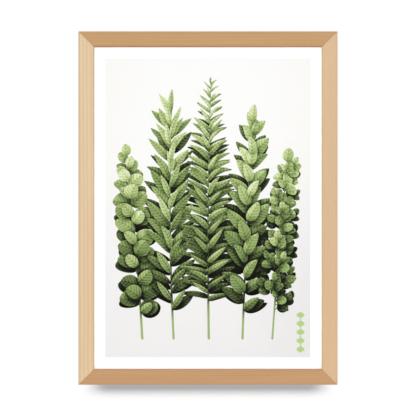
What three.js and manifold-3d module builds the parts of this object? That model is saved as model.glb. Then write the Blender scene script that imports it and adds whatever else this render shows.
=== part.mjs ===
// A framed print to hang on a wall: four mitred wooden rails round a clear sheet, a printed
// sheet and a backing board, with the tabs, nails, hanger and bumpers that hold it together.
// Millimetres. +Z is up, the front faces -Y and the wall is the plane y = 0.
// The origin is on the wall, at the middle notch of the hanger.

import * as THREE from 'three';
import { mergeVertices } from 'three/addons/utils/BufferGeometryUtils.js';
import Module from 'manifold-3d';

const wasm = await Module();
wasm.setup();

// Driving dimensions
const OPENING_W = 297;          // what shows of the sheet inside the rails
const OPENING_H = 420;
const FACE = 20.6;              // width of a rail seen from the front
const DEPTH = 20;               // front face of a rail to its back face
const REBATE = 5;               // how far the sheets reach under the lip
const LIP = 3.5;                // thickness of the lip in front of the glazing
const STAND_OFF = 3;            // air between the rails' back and the wall
const HANG_BELOW_TOP = 12;      // the notch that takes the nail, below the top edge
const GLAZING_T = 2;
const PRINT_T = 0.4;
const BACKING_T = 3;
const INK_ROOM = 0.5;           // between the glazing and the face of the printed sheet
const SHEET_PLAY = 1;           // sheets are cut this much short of each rebate wall
const GAP = 0.2;                // left between faces that touch on the real frame
const CUT_GAP = 0.25;           // left round a piece that is pressed into the wood
const OVERCUT = 1;              // a cutting body runs this far past the face it cuts
const SAME_POINT = 1e-4;        // corners closer than this are one corner

// Rounded edges of the moulding
const SIGHT_ROUND = 1.2;
const FRONT_ROUND = 1.0;
const BACK_ROUND = 0.6;
const ROUND_STEPS = 3;

// Where things lie in depth, counted from the rails' front face
const GLAZING_D = LIP + GAP;
const PRINT_D = GLAZING_D + GLAZING_T + INK_ROOM;
const BACKING_D = PRINT_D + PRINT_T + GAP;
const TAB_D = BACKING_D + BACKING_T + GAP;

// Where the frame lies round the hanging notch
const FRONT_Y = -(STAND_OFF + DEPTH);
const BACK_Y = -STAND_OFF;
const TOP_Z = HANG_BELOW_TOP;
const MIDDLE_Z = TOP_Z - FACE - OPENING_H / 2;
const HALF_W = OPENING_W / 2;
const HALF_H = OPENING_H / 2;
const BOTTOM_Z = MIDDLE_Z - HALF_H - FACE;

// Materials, one for each piece, from its own colour and finish
const finish = (color, roughness, metalness = 0) =>
  new THREE.MeshStandardMaterial({ color, roughness, metalness });
const DARK_OAK = 0xcaa075;
const PALE_OAK = 0xe4c7a4;
const WARM_OAK = 0xdcbc96;
const CLEAR = 0xf2f5f5;
const PAPER = 0xfafafa;
const FIBREBOARD = 0x9a7350;
const ZINC = 0xb9bcc0;
const BRASSED = 0xc9b070;
const RUBBER = 0x3a3a3c;

const group = new THREE.Group();

// A named piece, added to the frame
function addPiece(name, geometry, material) {
  geometry.computeVertexNormals();
  const mesh = new THREE.Mesh(geometry, material);
  mesh.name = name;
  group.add(mesh);
  return mesh;
}

// A closed geometry as a solid that can be joined and cut
function toSolid(geometry) {
  const bare = geometry.clone();
  bare.deleteAttribute('normal');
  bare.deleteAttribute('uv');
  const merged = mergeVertices(bare, SAME_POINT);
  return new wasm.Manifold(new wasm.Mesh({
    numProp: 3,
    vertProperties: new Float32Array(merged.attributes.position.array),
    triVerts: new Uint32Array(merged.index.array),
  }));
}

// A solid back as a geometry
function toGeometry(solid) {
  const { vertProperties, triVerts } = solid.getMesh();
  const geometry = new THREE.BufferGeometry();
  geometry.setAttribute('position', new THREE.BufferAttribute(new Float32Array(vertProperties), 3));
  geometry.setIndex(new THREE.BufferAttribute(new Uint32Array(triVerts), 1));
  return geometry;
}

const cutAway = (body, tools) => tools.reduce((left, tool) => left.subtract(tool), body);

// A flat outline in the XZ plane, made thick from yFront to yBack
function plate(outline, yFront, yBack) {
  const geometry = new THREE.ExtrudeGeometry(outline, { depth: yBack - yFront, bevelEnabled: false });
  geometry.rotateX(Math.PI / 2);
  geometry.translate(0, yBack, 0);
  return geometry;
}

function rectangle(x0, z0, x1, z1) {
  return new THREE.Shape([
    new THREE.Vector2(x0, z0), new THREE.Vector2(x1, z0),
    new THREE.Vector2(x1, z1), new THREE.Vector2(x0, z1),
  ]);
}

// Moulding

// The moulding's section: u runs outwards from the sight edge, d backwards from the front face
function mouldingSection() {
  const section = new THREE.Shape();
  section.moveTo(0, SIGHT_ROUND);
  section.absarc(SIGHT_ROUND, SIGHT_ROUND, SIGHT_ROUND, Math.PI, 1.5 * Math.PI, false);
  section.absarc(FACE - FRONT_ROUND, FRONT_ROUND, FRONT_ROUND, 1.5 * Math.PI, 2 * Math.PI, false);
  section.absarc(FACE - BACK_ROUND, DEPTH - BACK_ROUND, BACK_ROUND, 0, 0.5 * Math.PI, false);
  section.lineTo(REBATE, DEPTH);
  section.lineTo(REBATE, LIP);
  section.lineTo(0, LIP);
  section.closePath();
  return section;
}

// A rail of the section, mitred at both ends, lying along X with its sight edge on z = 0.
// Each end of the bar slides outwards by as much as the point is out from the sight edge.
function mitredBar(halfOpening) {
  const setBack = GAP / Math.SQRT2;
  const bar = new THREE.ExtrudeGeometry(mouldingSection(), {
    depth: 1, bevelEnabled: false, curveSegments: ROUND_STEPS,
  });
  const position = bar.attributes.position;
  for (let i = 0; i < position.count; i += 1) {
    const u = position.getX(i);
    const d = position.getY(i);
    const side = position.getZ(i) > 0.5 ? -1 : 1;
    position.setXYZ(i, side * (halfOpening + u - setBack), FRONT_Y + d, u);
  }
  return bar;
}

// The four sides: how far a bar is turned about Y, the half length of its opening edge, and
// how far its sight edge is from the middle of the frame
const SIDES = {
  top: { turn: 0, half: HALF_W, out: HALF_H },
  right: { turn: 0.5 * Math.PI, half: HALF_H, out: HALF_W },
  bottom: { turn: Math.PI, half: HALF_W, out: HALF_H },
  left: { turn: 1.5 * Math.PI, half: HALF_H, out: HALF_W },
};

// A geometry in a side's own place, with its sight edge on z = 0, moved round to that side
function placeOnSide(geometry, { turn, out }) {
  geometry.translate(0, 0, out);
  geometry.rotateY(turn);
  geometry.translate(0, 0, MIDDLE_Z);
  return geometry;
}

// Steel tabs, pressed flat into the rebate wall and lying on the backing board

const TAB_W = 7;
const TAB_T = 0.6;
const TAB_IN_WOOD = 5.5;
const TAB_OVER_BOARD = 10;
const TAB_TIP = 3;               // length of the pointed end
const TAB_TIP_W = 2;
const TAB_CORNER = 1.2;

// A tab's outline, grown all round by grow, at x along the side
function tabOutline(x, grow) {
  const half = TAB_W / 2 + grow;
  const deep = REBATE + TAB_IN_WOOD + grow;
  const inner = REBATE - TAB_OVER_BOARD - grow;
  return new THREE.Shape([
    new THREE.Vector2(x - half + TAB_CORNER, inner), new THREE.Vector2(x + half - TAB_CORNER, inner),
    new THREE.Vector2(x + half, inner + TAB_CORNER), new THREE.Vector2(x + half, deep - TAB_TIP),
    new THREE.Vector2(x + TAB_TIP_W / 2, deep), new THREE.Vector2(x - TAB_TIP_W / 2, deep),
    new THREE.Vector2(x - half, deep - TAB_TIP), new THREE.Vector2(x - half, inner + TAB_CORNER),
  ]);
}

function tabBody(x, side, grow) {
  const front = FRONT_Y + TAB_D - grow;
  return placeOnSide(plate(tabOutline(x, grow), front, front + TAB_T + 2 * grow), side);
}

const TAB_PLACES = {
  top: [-90, 90],
  bottom: [-90, 90],
  left: [-140, 0, 140],
  right: [-140, 0, 140],
};

// V-nails, driven from the back across each mitre, with the V's point towards the opening

const VNAIL_LEG = 4.6;
const VNAIL_T = 0.6;
const VNAIL_DEEP = 7;
const VNAIL_SUNK = 0.3;
const VNAIL_U = [7.2, 13.2];    // the V's point, out from the sight edge

// The V at a corner of the frame, with its point at (x, z) and its legs along the two rails'
// widths, towards the outer corner; sx and sz say which corner
function vnailOutline(x, z, sx, sz, grow) {
  const leg = VNAIL_LEG + grow;
  const half = VNAIL_T / 2 + grow;
  const at = (a, b) => new THREE.Vector2(x + sx * a, z + sz * b);
  return new THREE.Shape([
    at(-half, -half), at(leg, -half), at(leg, half), at(half, half), at(half, leg), at(-half, leg),
  ]);
}

function vnailBody(u, sx, sz, grow) {
  const outline = vnailOutline(sx * (HALF_W + u), MIDDLE_Z + sz * (HALF_H + u), sx, sz, grow);
  const back = grow > 0 ? BACK_Y + OVERCUT : BACK_Y - VNAIL_SUNK;
  return plate(outline, BACK_Y - VNAIL_SUNK - VNAIL_DEEP - grow, back);
}

const CORNERS = [
  { name: 'top_left', sx: -1, sz: 1 },
  { name: 'top_right', sx: 1, sz: 1 },
  { name: 'bottom_left', sx: -1, sz: -1 },
  { name: 'bottom_right', sx: 1, sz: -1 },
];

// Hanger: a strip whose raised middle is toothed along its lower edge

const HANGER_L = 46;
const HANGER_H = 9;
const HANGER_T = 1;
const HANGER_FOOT = 6;
const HANGER_SLOPE = 2.5;       // length over which the strip rises from foot to middle
const HANGER_RAISE = 1.6;
const TOOTH_PITCH = 2.4;
const TOOTH_H = 1.4;
const TOOTH_COUNT = 11;         // notches, with one in the middle
const HANGER_CORNER = 2;
const PIN_SHANK_R = 0.6;
const PIN_HEAD_R = 1.6;
const PIN_HEAD_H = 0.8;
const PIN_RIM_H = 0.2;
const PIN_FLAT_R = 0.4;
const PIN_LENGTH = 8;
const PIN_POINT_L = 1.2;
const PIN_SIDES = 16;
const PIN_X = (HANGER_L - HANGER_FOOT) / 2;
const DOME_STEPS = 4;
const HANGER_BOTTOM = -TOOTH_H;
const HANGER_TOP = HANGER_BOTTOM + HANGER_H;
const PIN_Z = (HANGER_BOTTOM + HANGER_TOP) / 2;

// The strip seen from above: two feet on the wood and the middle raised towards the wall
function hangerBridge() {
  const foot = BACK_Y + GAP;
  const raised = foot + HANGER_RAISE;
  const end = HANGER_L / 2;
  const footEnd = end - HANGER_FOOT;
  const riseEnd = footEnd - HANGER_SLOPE;
  const line = (shift) => [
    [-end, foot + shift], [-footEnd, foot + shift], [-riseEnd, raised + shift],
    [riseEnd, raised + shift], [footEnd, foot + shift], [end, foot + shift],
  ];
  const points = [...line(0), ...line(HANGER_T).reverse()].map(([x, y]) => new THREE.Vector2(x, y));
  const bridge = new THREE.ExtrudeGeometry(new THREE.Shape(points), {
    depth: HANGER_H + 2 * OVERCUT, bevelEnabled: false,
  });
  bridge.translate(0, 0, HANGER_BOTTOM - OVERCUT);
  return bridge;
}

// The strip seen from the back: round ends and a saw-toothed lower edge, with a notch at x = 0
function hangerOutline() {
  const end = HANGER_L / 2;
  const outline = new THREE.Shape();
  const toothed = (TOOTH_COUNT * TOOTH_PITCH) / 2;
  outline.moveTo(-end + HANGER_CORNER, HANGER_BOTTOM);
  outline.lineTo(-toothed, HANGER_BOTTOM);
  for (let i = 0; i < TOOTH_COUNT; i += 1) {
    const x = -toothed + i * TOOTH_PITCH;
    outline.lineTo(x + TOOTH_PITCH / 2, HANGER_BOTTOM + TOOTH_H);
    outline.lineTo(x + TOOTH_PITCH, HANGER_BOTTOM);
  }
  outline.lineTo(end - HANGER_CORNER, HANGER_BOTTOM);
  outline.absarc(end - HANGER_CORNER, HANGER_BOTTOM + HANGER_CORNER, HANGER_CORNER,
    1.5 * Math.PI, 2 * Math.PI, false);
  outline.absarc(end - HANGER_CORNER, HANGER_TOP - HANGER_CORNER, HANGER_CORNER,
    0, 0.5 * Math.PI, false);
  outline.absarc(-end + HANGER_CORNER, HANGER_TOP - HANGER_CORNER, HANGER_CORNER,
    0.5 * Math.PI, Math.PI, false);
  outline.absarc(-end + HANGER_CORNER, HANGER_BOTTOM + HANGER_CORNER, HANGER_CORNER,
    Math.PI, 1.5 * Math.PI, false);
  return outline;
}

// A round body about an axis along Y, from (radius, y) points
function turned(points, x, z, sides) {
  const geometry = new THREE.LatheGeometry(points.map(([r, y]) => new THREE.Vector2(r, y)), sides);
  geometry.translate(x, 0, z);
  return geometry;
}

// Points of a dome's section, a quarter ellipse from its rim (r, base) to its flat (flatR, top)
function domePoints(r, base, flatR, top) {
  return Array.from({ length: DOME_STEPS + 1 }, (_, i) => {
    const angle = (0.5 * Math.PI * i) / DOME_STEPS;
    return [flatR + (r - flatR) * Math.cos(angle), base + (top - base) * Math.sin(angle)];
  });
}

// A pin: a shank in the wood and a low domed head on the strip
function pinBody(x) {
  const under = BACK_Y + GAP + HANGER_T + GAP;
  const point = under - PIN_LENGTH;
  const top = under + PIN_HEAD_H;
  return turned([
    [0, point], [PIN_SHANK_R, point + PIN_POINT_L], [PIN_SHANK_R, under], [PIN_HEAD_R, under],
    ...domePoints(PIN_HEAD_R, under + PIN_RIM_H, PIN_FLAT_R, top), [0, top],
  ], x, PIN_Z, PIN_SIDES);
}

function pinHole(x, from, to) {
  const r = PIN_SHANK_R + CUT_GAP;
  return turned([[0, from], [r, from], [r, to], [0, to]], x, PIN_Z, PIN_SIDES);
}

// Bumpers: soft buttons that touch the wall

const BUMPER_R = 5;
const BUMPER_RIM_H = 1;
const BUMPER_FLAT_R = 3;
const BUMPER_SIDES = 32;
const BUMPER_X = 145;
const BUMPER_Z = BOTTOM_Z + (FACE - REBATE) / 2;

function bumperBody(x) {
  const base = BACK_Y + GAP;
  return turned([
    [0, base], [BUMPER_R, base], ...domePoints(BUMPER_R, base + BUMPER_RIM_H, BUMPER_FLAT_R, 0), [0, 0],
  ], x, BUMPER_Z, BUMPER_SIDES);
}

// A flat sheet in the rebate, resting on the bottom rail
function sheetBody(depthFromFront, thickness) {
  const halfW = HALF_W + REBATE - SHEET_PLAY;
  const bottom = MIDDLE_Z - HALF_H - REBATE + GAP;
  const top = bottom + OPENING_H + 2 * (REBATE - SHEET_PLAY);
  const front = FRONT_Y + depthFromFront;
  return plate(rectangle(-halfW, bottom, halfW, top), front, front + thickness);
}

// The rails, cut to clear what is pressed into them
function railBody(name) {
  const side = SIDES[name];
  const rail = toSolid(placeOnSide(mitredBar(side.half), side));
  const tools = TAB_PLACES[name].map((x) => toSolid(tabBody(x, side, CUT_GAP)));
  for (const corner of CORNERS.filter((c) => c.name.includes(name))) {
    for (const u of VNAIL_U) {
      tools.push(toSolid(vnailBody(u, corner.sx, corner.sz, CUT_GAP)));
    }
  }
  if (name === 'top') {
    for (const x of [-PIN_X, PIN_X]) {
      tools.push(toSolid(pinHole(x, BACK_Y - PIN_LENGTH, BACK_Y + OVERCUT)));
    }
  }
  return toGeometry(cutAway(rail, tools));
}

const RAIL_COLOURS = { top: DARK_OAK, bottom: DARK_OAK, left: PALE_OAK, right: WARM_OAK };
for (const name of Object.keys(SIDES)) {
  addPiece(`rail_${name}`, railBody(name), finish(RAIL_COLOURS[name], 0.55));
}

const glazingFinish = finish(CLEAR, 0.05);
glazingFinish.transparent = true;
glazingFinish.opacity = 0.25;
addPiece('glazing', sheetBody(GLAZING_D, GLAZING_T), glazingFinish);
addPiece('print_sheet', sheetBody(PRINT_D, PRINT_T), finish(PAPER, 0.8));
addPiece('backing_board', sheetBody(BACKING_D, BACKING_T), finish(FIBREBOARD, 0.8));

for (const [name, places] of Object.entries(TAB_PLACES)) {
  places.forEach((x, i) => {
    addPiece(`tab_${name}_${i + 1}`, tabBody(x, SIDES[name], 0), finish(ZINC, 0.4, 0.9));
  });
}

for (const { name, sx, sz } of CORNERS) {
  VNAIL_U.forEach((u, i) => {
    addPiece(`vnail_${name}_${i + 1}`, vnailBody(u, sx, sz, 0), finish(ZINC, 0.45, 0.9));
  });
}

const strip = toSolid(hangerBridge()).intersect(toSolid(plate(hangerOutline(), -STAND_OFF, 0)));
const stripHoles = [-PIN_X, PIN_X].map((x) => toSolid(pinHole(x, BACK_Y - OVERCUT, OVERCUT)));
addPiece('sawtooth_hanger', toGeometry(cutAway(strip, stripHoles)), finish(BRASSED, 0.35, 0.9));
addPiece('hanger_pin_left', pinBody(-PIN_X), finish(BRASSED, 0.35, 0.9));
addPiece('hanger_pin_right', pinBody(PIN_X), finish(BRASSED, 0.35, 0.9));

addPiece('bumper_left', bumperBody(-BUMPER_X), finish(RUBBER, 0.85));
addPiece('bumper_right', bumperBody(BUMPER_X), finish(RUBBER, 0.85));

export default group;
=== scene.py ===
# %% [markdown]
# # A framed print on a white wall
#
# Four lengths of pale moulding meet in mitres round a sheet of glass, a printed sheet and a
# board. The construction is done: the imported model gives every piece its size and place. What
# is left is how each piece looks, so this file makes finer surfaces over the plain solids and
# gives them grain, ink, glass and metal. Everything is in metres, the wall is the plane y = 0,
# the front faces -Y and +Z is up.

# %% Load the model
import math

import bpy
import numpy as np
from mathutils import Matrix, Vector, geometry


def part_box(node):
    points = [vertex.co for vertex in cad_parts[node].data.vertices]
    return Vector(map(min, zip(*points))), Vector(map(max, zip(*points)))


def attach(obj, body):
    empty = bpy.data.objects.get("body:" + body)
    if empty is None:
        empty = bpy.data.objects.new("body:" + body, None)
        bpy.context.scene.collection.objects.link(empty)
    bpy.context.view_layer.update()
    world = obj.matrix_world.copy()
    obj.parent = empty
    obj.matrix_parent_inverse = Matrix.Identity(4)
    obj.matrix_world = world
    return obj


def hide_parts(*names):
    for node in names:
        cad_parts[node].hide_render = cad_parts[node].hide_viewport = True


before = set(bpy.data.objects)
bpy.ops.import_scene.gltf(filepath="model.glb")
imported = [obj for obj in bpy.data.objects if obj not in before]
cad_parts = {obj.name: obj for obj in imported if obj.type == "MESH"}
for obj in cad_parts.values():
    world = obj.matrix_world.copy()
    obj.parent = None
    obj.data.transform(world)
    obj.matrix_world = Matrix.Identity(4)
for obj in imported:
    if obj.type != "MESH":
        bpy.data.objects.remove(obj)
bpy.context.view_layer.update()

MM = 0.001

# %% [markdown]
# ## What the model says
#
# Every size here is read from the model's own pieces, so nothing has to be fitted by eye. The
# inner edges of the rails give the opening, and the nearest and furthest faces of each sheet
# give the depths. If the model changes, all of this follows.

# %% Read the opening and the depths


def low_high(node):
    """The lowest and highest corner of a piece of the model, as two arrays in metres."""
    low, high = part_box(node)
    return np.array(low), np.array(high)


top_low, top_high = low_high("rail_top")
right_low, right_high = low_high("rail_right")
OPENING_X, OUTER_X = right_low[0], right_high[0]
FRONT_Y, BACK_Y = top_low[1], top_high[1]
BOTTOM_Z = low_high("rail_bottom")[0][2]
MIDDLE_Z = (top_high[2] + BOTTOM_Z) / 2
OPENING_Z = top_low[2] - MIDDLE_Z
FACE = OUTER_X - OPENING_X
DEPTH = BACK_Y - FRONT_Y
print(f"opening {2 * OPENING_X / MM:.1f} x {2 * OPENING_Z / MM:.1f} mm, face {FACE / MM:.1f} mm")

# %% [markdown]
# ## The camera
#
# The frame was photographed square on: its left and right sides are equally wide and its edges
# are parallel, so the camera looks straight at its middle through a long lens, as a portrait
# photographer would stand well back. The distance follows from how many pixels wide the frame
# is in the picture.

# %% Place the camera
PICTURE_PX = 416
FRAME_LEFT_PX, FRAME_RIGHT_PX = 78.4, 337.6
FRAME_TOP_PX, FRAME_BOTTOM_PX = 31.2, 384.9
LENS = 150.0
SENSOR = 36.0

metres_per_px = 2 * OUTER_X / (FRAME_RIGHT_PX - FRAME_LEFT_PX)
shift_x = (PICTURE_PX / 2 - (FRAME_LEFT_PX + FRAME_RIGHT_PX) / 2) * metres_per_px
shift_z = ((FRAME_TOP_PX + FRAME_BOTTOM_PX) / 2 - PICTURE_PX / 2) * metres_per_px
distance = PICTURE_PX * metres_per_px * LENS / SENSOR

camera_data = bpy.data.cameras.new("portrait_lens")
camera_data.lens = LENS
camera_data.sensor_width = SENSOR
camera = bpy.data.objects.new("portrait_camera", camera_data)
camera.location = (shift_x, FRONT_Y - distance, MIDDLE_Z + shift_z)
camera.rotation_euler = (math.pi / 2, 0, 0)
bpy.context.scene.collection.objects.link(camera)
bpy.context.scene.camera = camera
print(f"camera {distance:.3f} m in front of the rails, {metres_per_px / MM:.3f} mm a pixel")

# %% [markdown]
# ## Meshes from arrays
#
# A surface here is an array of points, in rows and columns. Neighbouring points make a
# four-sided face, so one function turns any such array into a mesh, whether it is a rail, a
# nail or a button. It works with whole arrays: the corner numbers of all the faces come from
# one grid of numbers and its shifted copies.

# %% Faces


def grid_faces(rows, columns, wrap=False):
    """Corner numbers of the faces between neighbours in a grid of points. Going along a row and
    then down a column turns anticlockwise. With wrap, the last column meets the first again."""
    index = np.arange(rows * columns).reshape(rows, columns)
    if wrap:
        index = np.hstack([index, index[:, :1]])
    corners = [index[:-1, :-1], index[:-1, 1:], index[1:, 1:], index[1:, :-1]]
    return np.stack([c.ravel() for c in corners], axis=1)


def tube_faces(rings, count):
    """The faces of a closed tube: walls between its rings of count points, and a flat cap at each
    end. The rings run anticlockwise as seen from before the first."""
    walls = grid_faces(rings, count, wrap=True)[:, ::-1]
    index = np.arange(rings * count)
    return [*walls.tolist(), index[:count].tolist(), index[-count:][::-1].tolist()]


# %% Pieces


def new_piece(name, points, faces, smooth=True):
    """A mesh object at the origin, from points of any array shape and a list of faces."""
    mesh = bpy.data.meshes.new(name)
    mesh.from_pydata(np.asarray(points).reshape(-1, 3).tolist(), [], [list(map(int, f)) for f in faces])
    mesh.polygons.foreach_set("use_smooth", np.full(len(mesh.polygons), smooth))
    mesh.update()
    piece = bpy.data.objects.new(name, mesh)
    bpy.context.scene.collection.objects.link(piece)
    return piece


def store(piece, name, values, domain="POINT"):
    """Stores one number, or one vector, for each point, face or corner of a piece, for its
    material to read."""
    values = np.asarray(values, dtype=np.float32)
    kind, key = ("FLOAT", "value") if values.ndim == 1 else ("FLOAT_VECTOR", "vector")
    attribute = piece.data.attributes.new(name, kind, domain)
    attribute.data.foreach_set(key, values.ravel())


def finish_piece(piece, slot, node, *materials):
    """Gives a piece its materials, lets it ride on the frame and hides the piece of the model that
    it stands for. The slot is not used."""
    for material in materials:
        piece.data.materials.append(material)
    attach(piece, "root")
    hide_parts(node)
    triangles = sum(len(p.vertices) - 2 for p in piece.data.polygons)
    print(f"{piece.name}: {triangles} triangles")


# %% [markdown]
# ## Node helpers
#
# Materials are graphs of nodes. One function adds any node, and one fills its sockets with plain
# values or with other nodes' outputs. A number that comes out of a node is wrapped in a small
# class: plain arithmetic on it adds the nodes that do the sum, so a formula in a material reads
# from left to right like a line of algebra.

# %% Numbers in a graph


class Number:
    """A number that comes out of a node."""

    def __init__(self, socket):
        self.socket = socket
        self.tree = socket.id_data

    def __add__(self, other):
        return calc("ADD", self, other)

    def __sub__(self, other):
        return calc("SUBTRACT", self, other)

    def __rsub__(self, other):
        return calc("SUBTRACT", other, self)

    def __mul__(self, other):
        return calc("MULTIPLY", self, other)

    def __truediv__(self, other):
        return calc("DIVIDE", self, other)


def fill(node, values):
    """Fills sockets of a node: each is set to a value or linked to another node's output."""
    for key, value in values.items():
        if isinstance(value, Number):
            value = value.socket
        if isinstance(value, bpy.types.NodeSocket):
            node.id_data.links.new(value, node.inputs[key])
        else:
            node.inputs[key].default_value = value


def put(tree, kind, values=None, **settings):
    """Adds a node with these settings and fills its sockets."""
    node = tree.nodes.new(kind)
    for key, value in settings.items():
        setattr(node, key, value)
    fill(node, values or {})
    return node


def calc(operation, *values):
    """One step of arithmetic on values of which at least one is a Number."""
    tree = next(value.tree for value in values if isinstance(value, Number))
    return Number(put(tree, "ShaderNodeMath", dict(enumerate(values)), operation=operation).outputs[0])


# %% Colours, eases and noise


def rgb(red, green, blue, times=1.0):
    """A colour given as 0 to 255 in a picture, as the linear numbers that shaders use."""
    share = np.array([red, green, blue]) / 255
    linear = np.where(share <= 0.04045, share / 12.92, ((share + 0.055) / 1.055) ** 2.4)
    return (*(linear * times).tolist(), 1.0)


def mix(share, a, b, mode="MIX"):
    """Two colours mixed by a share of the second, or the first multiplied by it in part."""
    values = {0: share, 6: a, 7: b}
    return put(share.tree, "ShaderNodeMix", values, data_type="RGBA", blend_type=mode).outputs[2]


def ease(value, low, high):
    """0 below low, 1 above high and a smooth rise between. A high below low falls instead."""
    values = {"Value": value, "From Min": low, "From Max": high}
    return Number(put(value.tree, "ShaderNodeMapRange", values, interpolation_type="SMOOTHSTEP").outputs[0])


def noise(vector, scale, detail=2.0, rough=0.5, twist=0.0):
    """Noise on coordinates that are first multiplied by scale, so it can be drawn out. The
    twist bends its lines."""
    placed = put(vector.id_data, "ShaderNodeVectorMath", {0: vector, 1: scale}, operation="MULTIPLY")
    values = {"Vector": placed.outputs[0], "Scale": 1.0, "Detail": detail, "Roughness": rough}
    return Number(put(vector.id_data, "ShaderNodeTexNoise", {**values, "Distortion": twist}).outputs[0])


def parts(vector):
    """The three numbers of a vector."""
    return [Number(part) for part in put(vector.id_data, "ShaderNodeSeparateXYZ", {0: vector}).outputs]


# %% Materials and groups


def new_material(name):
    """A material and its Principled shader."""
    material = bpy.data.materials.new(name)
    material.use_nodes = True
    return material, material.node_tree.nodes["Principled BSDF"]


def new_group(name, inputs, outputs):
    """An empty node group with named sockets, given as (name, kind) pairs."""
    group = bpy.data.node_groups.new(name, "ShaderNodeTree")
    for label, kind in inputs:
        group.interface.new_socket(label, in_out="INPUT", socket_type="NodeSocket" + kind)
    for label, kind in outputs:
        group.interface.new_socket(label, in_out="OUTPUT", socket_type="NodeSocket" + kind)
    return group, group.nodes.new("NodeGroupInput").outputs, group.nodes.new("NodeGroupOutput")


def object_place(shader):
    """Where a point of the surface is, in metres from the frame's origin."""
    return put(shader.id_data, "ShaderNodeTexCoord").outputs["Object"]


def bump(shader, height, strength, distance):
    """Lets a height tilt the surface of a shader, as if it were this deep."""
    values = {"Height": height, "Strength": strength, "Distance": distance}
    fill(shader, {"Normal": put(shader.id_data, "ShaderNodeBump", values).outputs[0]})


# %% [markdown]
# ## The wood
#
# The rails are a pale, fine-grained hardwood under a thin satin finish. Real grain is a solid
# pattern: a tree's rings are tubes round its core, and a rail is a small piece cut out of
# them, so the lines run along the rail and carry on round its edges. The group below does
# that: it takes a place inside the plank (across, deep, along), measures how far it is from
# a core well outside the rail and draws a band for each ring, then adds short fibres and
# pores drawn out along the rail.

# %% The wood grain group
RING_WIDTH = 2.8 * MM
RING_SWAY = 2.0 * RING_WIDTH
RING_SHARP = 2.2
CORE = (-0.055, 0.090, 0.0)
SWAY_SCALE = (14, 14, 1.2)
FIBRE_SCALE = (900, 900, 16)
DRIFT_SCALE = (60, 60, 5)
PORE_SCALE = (1500, 1500, 70)
FIBRE_SHARE = 0.42
DRIFT_SHARE = 0.25
PORE_SHARE = 0.35
FIBRE_HEIGHT = 0.6
SATIN, SATIN_VARIES = 0.42, 0.18
PORE_TINT = (0.62, 0.55, 0.47, 1)
EDGE_SHADE_TINT = (0.80, 0.72, 0.64, 1)

wood_grain, given, result = new_group(
    "wood_grain",
    [("Place", "Vector"), ("Pale", "Color"), ("Deep", "Color"), ("Bands", "Float"), ("Edge", "Float")],
    [("Color", "Color"), ("Height", "Float"), ("Dryness", "Float")],
)
place = given["Place"]
crosswise = put(wood_grain, "ShaderNodeVectorMath", {0: place, 1: (1, 1, 0)}, operation="MULTIPLY")
from_core = put(wood_grain, "ShaderNodeVectorMath", {0: crosswise.outputs[0], 1: CORE}, operation="DISTANCE")
wavy = Number(from_core.outputs["Value"]) + noise(place, SWAY_SCALE, detail=1.0) * RING_SWAY
ring = calc("SINE", wavy * (2 * math.pi / RING_WIDTH)) * 0.5 + 0.5
fibre = noise(place, FIBRE_SCALE, detail=3.0, rough=0.65)
drift = noise(place, DRIFT_SCALE, detail=1.0)
pores = ease(noise(place, PORE_SCALE, detail=1.0), 0.66, 0.74)
tone = calc("POWER", ring, RING_SHARP) * Number(given["Bands"])
tone = tone + ease(fibre, 0.25, 0.75) * FIBRE_SHARE + ease(drift, 0.3, 0.7) * DRIFT_SHARE
colour = mix(pores * PORE_SHARE, mix(tone, given["Pale"], given["Deep"]), PORE_TINT, "MULTIPLY")
# The next line is painted shade: it darkens the colour along the rails' sight edges and outer edges.
colour = mix(Number(given["Edge"]), colour, EDGE_SHADE_TINT, "MULTIPLY")
fill(result, {"Color": colour, "Height": fibre * FIBRE_HEIGHT - pores})
fill(result, {"Dryness": fibre * SATIN_VARIES + SATIN})
print(f"wood grain: {len(wood_grain.nodes)} nodes")

# %% A wood


def wood(name, pale, deep, bands):
    """A satin wood: the grain group between a pale and a deep tone, with bands this strong."""
    material, shader = new_material(name)
    tree = shader.id_data
    where = put(tree, "ShaderNodeAttribute", attribute_name="plank_place").outputs["Vector"]
    # This attribute is painted shade along the rails' sight edges and outer edges.
    edge = put(tree, "ShaderNodeAttribute", attribute_name="arris").outputs["Fac"]
    values = {"Place": where, "Pale": rgb(*pale), "Deep": rgb(*deep), "Bands": bands, "Edge": edge}
    grain = put(tree, "ShaderNodeGroup", values, node_tree=wood_grain).outputs
    fill(shader, {"Base Color": grain["Color"], "Roughness": grain["Dryness"]})
    bump(shader, grain["Height"], strength=0.25, distance=0.05 * MM)
    return material


# %% [markdown]
# ## The rails
#
# A moulding is one section carried along a line, and its corner is a mitre: each end is cut at
# 45 degrees, so a point that is further out from the opening is also further along. Shearing
# the ends that way gives the mitre with no cutting. A last row of points, drawn in by a hair,
# eases the cut edges as sanding does, and the two eased edges make the fine line that shows
# where two rails meet.

# %% The moulding's section
REBATE = 5 * MM
LIP = 3.5 * MM
SIGHT_ROUND = 1.2 * MM
FRONT_ROUND = 1.0 * MM
BACK_ROUND = 0.6 * MM
INNER_ROUND = 0.25 * MM
FACE_STEPS = 12


def arc(centre, radius, start, end, steps):
    """Points on a circle about centre, from one angle to another, in degrees."""
    angle = np.radians(np.linspace(start, end, steps))
    return np.stack([centre[0] + radius * np.cos(angle), centre[1] + radius * np.sin(angle)], axis=1)


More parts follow.
